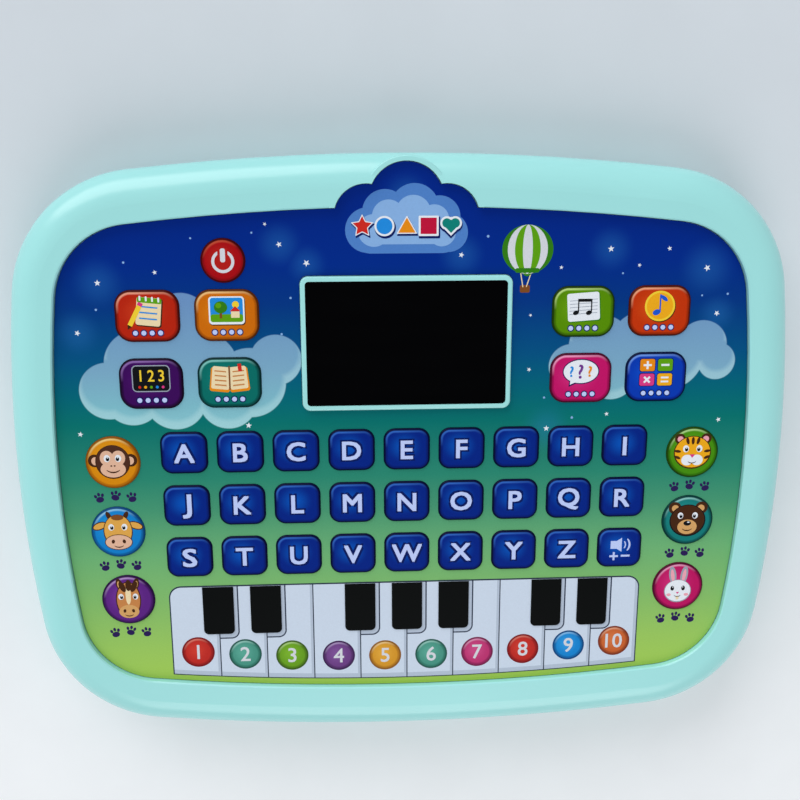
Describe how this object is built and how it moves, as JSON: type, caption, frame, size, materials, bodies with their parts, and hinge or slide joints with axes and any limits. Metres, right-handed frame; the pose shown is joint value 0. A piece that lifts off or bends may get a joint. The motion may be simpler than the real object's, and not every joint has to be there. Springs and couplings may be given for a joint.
{
  "type": "toy learning tablet",
  "caption": "One-piece toy learning tablet: mint rounded housing, printed membrane panel with press keys and a piano strip, dark screen window, speaker and battery door behind.",
  "frame": {"origin": "under the middle of the body, on the surface that the toy lies on", "axes": "+X to the toy's right along its long side, +Y to its top edge, +Z out of its key panel"},
  "size_m": [0.245, 0.189, 0.025],
  "materials": {
    "mint_abs": "glossy moulded ABS",
    "printed_film": "printed PET film with a clear coat",
    "letter_blue": "embossed printed film, royal blue",
    "key_red": "embossed printed film, red",
    "key_orange": "embossed printed film, orange",
    "key_purple": "embossed printed film, purple",
    "key_teal": "embossed printed film, teal",
    "key_green": "embossed printed film, green",
    "key_pink": "embossed printed film, pink",
    "key_sky": "embossed printed film, blue",
    "key_amber": "embossed printed film, amber",
    "smoked_window": "smoked acrylic, polished",
    "membrane_sheet": "clear PET sheet",
    "black_abs": "moulded ABS, black",
    "circuit_board": "glass-fibre board with green solder mask",
    "screw_steel": "zinc-plated steel",
    "spring_steel": "nickel-plated spring steel",
    "cell_wrap": "shrink sleeve on a steel can",
    "wire_sleeve": "PVC insulation"
  },
  "bodies": {
    "root": {"front_housing": "mint_abs", "rear_housing": "mint_abs", "graphic_overlay": "printed_film", "spacer_sheet": "membrane_sheet", "circuit_sheet": "membrane_sheet", "screen_window": "smoked_window", "display_module": "black_abs", "main_board": "circuit_board", "speaker": "black_abs", "battery_cells": "cell_wrap", "battery_springs": "spring_steel", "battery_plates": "spring_steel", "housing_screws": "screw_steel", "board_screws": "screw_steel", "battery_leads": "wire_sleeve", "speaker_leads": "wire_sleeve"},
    "battery_door": {"battery_door": "mint_abs", "door_screw": "screw_steel"},
    "key_a": {"key_a": "letter_blue"},
    "key_b": {"key_b": "letter_blue"},
    "key_c": {"key_c": "letter_blue"},
    "key_d": {"key_d": "letter_blue"},
    "key_e": {"key_e": "letter_blue"},
    "key_f": {"key_f": "letter_blue"},
    "key_g": {"key_g": "letter_blue"},
    "key_h": {"key_h": "letter_blue"},
    "key_i": {"key_i": "letter_blue"},
    "key_j": {"key_j": "letter_blue"},
    "key_k": {"key_k": "letter_blue"},
    "key_l": {"key_l": "letter_blue"},
    "key_m": {"key_m": "letter_blue"},
    "key_n": {"key_n": "letter_blue"},
    "key_o": {"key_o": "letter_blue"},
    "key_p": {"key_p": "letter_blue"},
    "key_q": {"key_q": "letter_blue"},
    "key_r": {"key_r": "letter_blue"},
    "key_s": {"key_s": "letter_blue"},
    "key_t": {"key_t": "letter_blue"},
    "key_u": {"key_u": "letter_blue"},
    "key_v": {"key_v": "letter_blue"},
    "key_w": {"key_w": "letter_blue"},
    "key_x": {"key_x": "letter_blue"},
    "key_y": {"key_y": "letter_blue"},
    "key_z": {"key_z": "letter_blue"},
    "key_volume": {"key_volume": "letter_blue"},
    "key_power": {"key_power": "key_red"},
    "key_notepad": {"key_notepad": "key_red"},
    "key_card": {"key_card": "key_orange"},
    "key_display": {"key_display": "key_purple"},
    "key_book": {"key_book": "key_teal"},
    "key_song": {"key_song": "key_green"},
    "key_tune": {"key_tune": "key_red"},
    "key_question": {"key_question": "key_pink"},
    "key_sums": {"key_sums": "key_sky"},
    "key_monkey": {"key_monkey": "key_amber"},
    "key_calf": {"key_calf": "key_sky"},
    "key_foal": {"key_foal": "key_purple"},
    "key_tiger": {"key_tiger": "key_green"},
    "key_bear": {"key_bear": "key_teal"},
    "key_rabbit": {"key_rabbit": "key_pink"}
  },
  "joints": [
    {"name": "battery_door_tilt", "type": "hinge", "parent": "root", "child": "battery_door", "pos_m": [0, -0.0108, 0.0014], "axis": [1, 0, 0], "range_deg": [0, 75]},
    {"name": "key_a_press", "type": "slide", "parent": "root", "child": "key_a", "axis": [0, 0, -1], "range_m": [0, 0.0004], "stiffness_N_per_m": 2000},
    {"name": "key_b_press", "type": "slide", "parent": "root", "child": "key_b", "axis": [0, 0, -1], "range_m": [0, 0.0004], "stiffness_N_per_m": 2000},
    {"name": "key_c_press", "type": "slide", "parent": "root", "child": "key_c", "axis": [0, 0, -1], "range_m": [0, 0.0004], "stiffness_N_per_m": 2000},
    {"name": "key_d_press", "type": "slide", "parent": "root", "child": "key_d", "axis": [0, 0, -1], "range_m": [0, 0.0004], "stiffness_N_per_m": 2000},
    {"name": "key_e_press", "type": "slide", "parent": "root", "child": "key_e", "axis": [0, 0, -1], "range_m": [0, 0.0004], "stiffness_N_per_m": 2000},
    {"name": "key_f_press", "type": "slide", "parent": "root", "child": "key_f", "axis": [0, 0, -1], "range_m": [0, 0.0004], "stiffness_N_per_m": 2000},
    {"name": "key_g_press", "type": "slide", "parent": "root", "child": "key_g", "axis": [0, 0, -1], "range_m": [0, 0.0004], "stiffness_N_per_m": 2000},
    {"name": "key_h_press", "type": "slide", "parent": "root", "child": "key_h", "axis": [0, 0, -1], "range_m": [0, 0.0004], "stiffness_N_per_m": 2000},
    {"name": "key_i_press", "type": "slide", "parent": "root", "child": "key_i", "axis": [0, 0, -1], "range_m": [0, 0.0004], "stiffness_N_per_m": 2000},
    {"name": "key_j_press", "type": "slide", "parent": "root", "child": "key_j", "axis": [0, 0, -1], "range_m": [0, 0.0004], "stiffness_N_per_m": 2000},
    {"name": "key_k_press", "type": "slide", "parent": "root", "child": "key_k", "axis": [0, 0, -1], "range_m": [0, 0.0004], "stiffness_N_per_m": 2000},
    {"name": "key_l_press", "type": "slide", "parent": "root", "child": "key_l", "axis": [0, 0, -1], "range_m": [0, 0.0004], "stiffness_N_per_m": 2000},
    {"name": "key_m_press", "type": "slide", "parent": "root", "child": "key_m", "axis": [0, 0, -1], "range_m": [0, 0.0004], "stiffness_N_per_m": 2000},
    {"name": "key_n_press", "type": "slide", "parent": "root", "child": "key_n", "axis": [0, 0, -1], "range_m": [0, 0.0004], "stiffness_N_per_m": 2000},
    {"name": "key_o_press", "type": "slide", "parent": "root", "child": "key_o", "axis": [0, 0, -1], "range_m": [0, 0.0004], "stiffness_N_per_m": 2000},
    {"name": "key_p_press", "type": "slide", "parent": "root", "child": "key_p", "axis": [0, 0, -1], "range_m": [0, 0.0004], "stiffness_N_per_m": 2000},
    {"name": "key_q_press", "type": "slide", "parent": "root", "child": "key_q", "axis": [0, 0, -1], "range_m": [0, 0.0004], "stiffness_N_per_m": 2000},
    {"name": "key_r_press", "type": "slide", "parent": "root", "child": "key_r", "axis": [0, 0, -1], "range_m": [0, 0.0004], "stiffness_N_per_m": 2000},
    {"name": "key_s_press", "type": "slide", "parent": "root", "child": "key_s", "axis": [0, 0, -1], "range_m": [0, 0.0004], "stiffness_N_per_m": 2000},
    {"name": "key_t_press", "type": "slide", "parent": "root", "child": "key_t", "axis": [0, 0, -1], "range_m": [0, 0.0004], "stiffness_N_per_m": 2000},
    {"name": "key_u_press", "type": "slide", "parent": "root", "child": "key_u", "axis": [0, 0, -1], "range_m": [0, 0.0004], "stiffness_N_per_m": 2000},
    {"name": "key_v_press", "type": "slide", "parent": "root", "child": "key_v", "axis": [0, 0, -1], "range_m": [0, 0.0004], "stiffness_N_per_m": 2000},
    {"name": "key_w_press", "type": "slide", "parent": "root", "child": "key_w", "axis": [0, 0, -1], "range_m": [0, 0.0004], "stiffness_N_per_m": 2000},
    {"name": "key_x_press", "type": "slide", "parent": "root", "child": "key_x", "axis": [0, 0, -1], "range_m": [0, 0.0004], "stiffness_N_per_m": 2000},
    {"name": "key_y_press", "type": "slide", "parent": "root", "child": "key_y", "axis": [0, 0, -1], "range_m": [0, 0.0004], "stiffness_N_per_m": 2000},
    {"name": "key_z_press", "type": "slide", "parent": "root", "child": "key_z", "axis": [0, 0, -1], "range_m": [0, 0.0004], "stiffness_N_per_m": 2000},
    {"name": "key_volume_press", "type": "slide", "parent": "root", "child": "key_volume", "axis": [0, 0, -1], "range_m": [0, 0.0004], "stiffness_N_per_m": 2000},
    {"name": "key_power_press", "type": "slide", "parent": "root", "child": "key_power", "axis": [0, 0, -1], "range_m": [0, 0.0004], "stiffness_N_per_m": 2000},
    {"name": "key_notepad_press", "type": "slide", "parent": "root", "child": "key_notepad", "axis": [0, 0, -1], "range_m": [0, 0.0004], "stiffness_N_per_m": 2000},
    {"name": "key_card_press", "type": "slide", "parent": "root", "child": "key_card", "axis": [0, 0, -1], "range_m": [0, 0.0004], "stiffness_N_per_m": 2000},
    {"name": "key_display_press", "type": "slide", "parent": "root", "child": "key_display", "axis": [0, 0, -1], "range_m": [0, 0.0004], "stiffness_N_per_m": 2000},
    {"name": "key_book_press", "type": "slide", "parent": "root", "child": "key_book", "axis": [0, 0, -1], "range_m": [0, 0.0004], "stiffness_N_per_m": 2000},
    {"name": "key_song_press", "type": "slide", "parent": "root", "child": "key_song", "axis": [0, 0, -1], "range_m": [0, 0.0004], "stiffness_N_per_m": 2000},
    {"name": "key_tune_press", "type": "slide", "parent": "root", "child": "key_tune", "axis": [0, 0, -1], "range_m": [0, 0.0004], "stiffness_N_per_m": 2000},
    {"name": "key_question_press", "type": "slide", "parent": "root", "child": "key_question", "axis": [0, 0, -1], "range_m": [0, 0.0004], "stiffness_N_per_m": 2000},
    {"name": "key_sums_press", "type": "slide", "parent": "root", "child": "key_sums", "axis": [0, 0, -1], "range_m": [0, 0.0004], "stiffness_N_per_m": 2000},
    {"name": "key_monkey_press", "type": "slide", "parent": "root", "child": "key_monkey", "axis": [0, 0, -1], "range_m": [0, 0.0004], "stiffness_N_per_m": 2000},
    {"name": "key_calf_press", "type": "slide", "parent": "root", "child": "key_calf", "axis": [0, 0, -1], "range_m": [0, 0.0004], "stiffness_N_per_m": 2000},
    {"name": "key_foal_press", "type": "slide", "parent": "root", "child": "key_foal", "axis": [0, 0, -1], "range_m": [0, 0.0004], "stiffness_N_per_m": 2000},
    {"name": "key_tiger_press", "type": "slide", "parent": "root", "child": "key_tiger", "axis": [0, 0, -1], "range_m": [0, 0.0004], "stiffness_N_per_m": 2000},
    {"name": "key_bear_press", "type": "slide", "parent": "root", "child": "key_bear", "axis": [0, 0, -1], "range_m": [0, 0.0004], "stiffness_N_per_m": 2000},
    {"name": "key_rabbit_press", "type": "slide", "parent": "root", "child": "key_rabbit", "axis": [0, 0, -1], "range_m": [0, 0.0004], "stiffness_N_per_m": 2000}
  ]
}
